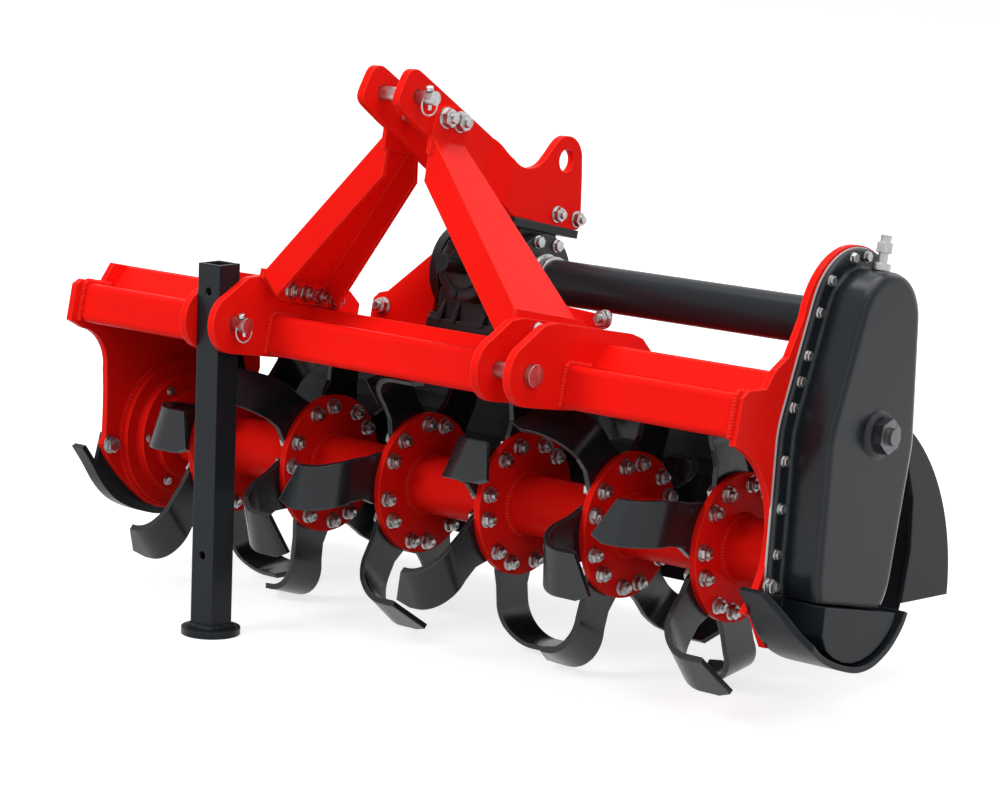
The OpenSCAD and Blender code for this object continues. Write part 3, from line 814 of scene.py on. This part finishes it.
# %% Low support
HOOD, FOLD_X, FOLD_Y = 230, 90, -64
SHEET, SAWN_EDGE = 0.006, 0.0008


def sheet_wall(corners, along):
    wall = filled([spot(*corner) for corner in corners])
    thicken(way(*along) * SHEET)
    bpy.ops.object.mode_set(mode="EDIT")
    bpy.ops.mesh.select_all(action="SELECT")
    bpy.ops.mesh.bevel(offset=SAWN_EDGE, segments=1, affect="EDGES")
    bpy.ops.object.mode_set(mode="OBJECT")
    return wall


front_edge = [
    (238, HOOD), (FOLD_X, HOOD), (FOLD_X, 296), (174, 290), (228, 287),
    (250, 294), (256, 288), (256, 274), (240, 263),
]
side_edge = [(FOLD_Y, HOOD), (20, HOOD), (20, 270), (-60, 279), (FOLD_Y, 290)]
low_support = joined([
    sheet_wall([(x, FOLD_Y, z) for x, z in front_edge], FORWARD),
    sheet_wall([(FOLD_X, y, z) for y, z in side_edge], RIGHTWARD),
], "support_low_right")
dressed(low_support, red_paint, "frame")
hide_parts("support_right")
print("low support faces", len(low_support.data.polygons))

# %% [markdown]
# ## Mast plates
# Each mast plate is cut from thick sheet with one flowing edge and folded outward halfway along.
# Its outline is rounded at every corner, filled, and cut along the two fold lines. The corners
# behind the folds move outward, the sheet is drawn out to its thickness, and bars bore its holes.

# %% Mast plates
FOLD_START, FOLD_RUN, FOLD_OUT, PLATE = -0.152, 0.030, 0.022, 0.012
REACH, NEARLY_HALF, CURVE_STEPS = 10, 0.48, 4


def toward(corner, other):
    run = other - corner
    return corner + run.normalized() * min(REACH, run.length * NEARLY_HALF)


def rounded(outline):
    corners = [Vector(place) for place in outline]
    line = []
    behind, ahead = corners[-1:] + corners[:-1], corners[1:] + corners[:1]
    for before, corner, after in zip(behind, corners, ahead):
        start, end = toward(corner, before), toward(corner, after)
        for k in range(CURVE_STEPS + 1):
            u = k / CURVE_STEPS
            line.append(start * (1 - u) ** 2 + corner * (2 * u * (1 - u)) + end * u ** 2)
    return line


def bored(plate, y, z, radius):
    bpy.ops.mesh.primitive_cylinder_add(
        vertices=ROUND, radius=radius, depth=0.2, location=(0, y, z), rotation=(0, math.pi / 2, 0))
    bar = bpy.context.object
    bore = plate.modifiers.new("bore", "BOOLEAN")
    bore.operation, bore.object = "DIFFERENCE", bar
    bpy.context.view_layer.objects.active = plate
    bpy.ops.object.modifier_apply(modifier="bore")
    bpy.data.objects.remove(bar)


def mast_plate(name, x, side, outline, bores):
    plate = filled([Vector((0, place.x, place.y)) / 1000 for place in rounded(outline)])
    plate.name = plate.data.name = name
    bpy.ops.object.mode_set(mode="EDIT")
    for fold in (FOLD_START, FOLD_START + FOLD_RUN):
        bpy.ops.mesh.select_all(action="SELECT")
        bpy.ops.mesh.bisect(plane_co=(0, fold, 0), plane_no=(0, 1, 0))
    bpy.ops.object.mode_set(mode="OBJECT")
    for corner in plate.data.vertices:
        share = (corner.co.y - FOLD_START) / FOLD_RUN
        corner.co.x = side * FOLD_OUT * min(1, max(0, share))
    thicken((side * PLATE, 0, 0))
    for bore in bores:
        bored(plate, *bore)
    plate.data.transform(Matrix.Translation(spot(x, 0, 0)) @ LEAN.to_4x4())
    return dressed(plate, red_paint, "frame", 30)


nose = [
    (-105, 405), (-120, 414), (-140, 430), (-200, 452), (-284, 489), (-308, 497),
    (-356, 518), (-363, 524), (-365, 533), (-353, 568), (-346, 574), (-336, 577),
    (-325, 574), (-148, 508), (-138, 500), (-126, 486), (-107, 477), (-85, 476),
]
foot = [(45, 448), (52, 414), (48, 404), (5, 404), (-46, 404), (-74, 405)]
PIN_BORE, EYE_BORE = (-0.325, 0.540, 0.0105), (-0.004, 0.500, 0.017)
EYE_Y, EYE_Z, LOBE = -4, 500, 36
lobe = []
for degrees in range(145, 0, -10):
    a = math.radians(degrees)
    lobe.append((EYE_Y + LOBE * math.cos(a), EYE_Z + LOBE * math.sin(a)))
with_eye = nose + [(-62, 484), (-48, 500), (-38, 515)] + lobe + [(36, 489)] + foot
plain = nose + [(-55, 472), (30, 466)] + foot
right_mast = mast_plate("mast_smooth_right", 47, 1, with_eye, [PIN_BORE, EYE_BORE])
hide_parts("mast_plate_right")
left_mast = mast_plate("mast_smooth_left", -7, -1, plain, [PIN_BORE])
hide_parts("mast_plate_left")
print("mast faces", len(right_mast.data.polygons), len(left_mast.data.polygons))

# %% [markdown]
# ## Drive tube ends
# Where the tube meets the side plate it runs into a bright ring, and at the gearbox end two more
# face each other across the coupling. Each is a bar turned in two steps: the end face is inset and
# drawn out to the smaller step, and a bevel breaks the corners.

# %% Bright rings


def stepped_ring(name, x, along, wide, narrow):
    radius, depth = wide
    step_radius, step_depth = narrow
    ring = plain_bar(ROUND, radius, depth)
    pick_top(ring)
    bpy.ops.mesh.inset(thickness=radius - step_radius)
    draw_out((0, 0, step_depth))
    bpy.ops.object.mode_set(mode="OBJECT")
    bevel = ring.modifiers.new("soft", "BEVEL")
    bevel.width, bevel.segments = 0.0008, 2
    bevel.limit_method, bevel.angle_limit = "ANGLE", math.radians(40)
    bpy.ops.object.modifier_apply(modifier="soft")
    placed = joined([put(ring, spot(x, *DRIVE), way(*along))], name)
    bpy.data.objects.remove(ring)
    return dressed(placed, bright_steel, "frame")


stepped_ring("drive_ring_right", 613, LEFTWARD, (0.0405, 0.006), (0.0355, 0.006))
stepped_ring("drive_ring_left", 115, LEFTWARD, (0.0360, 0.006), (0.0345, 0.002))
stepped_ring("drive_ring_gearbox", 90, RIGHTWARD, (0.0385, 0.008), (0.0365, 0.003))
print("drive rings done")

# %% [markdown]
# ## Finish
# The models that the copies came from are put away.

# %% Put the models away
for model in (nut_model, head_model, drop_model, clip_model):
    bpy.data.objects.remove(model)
let_go()
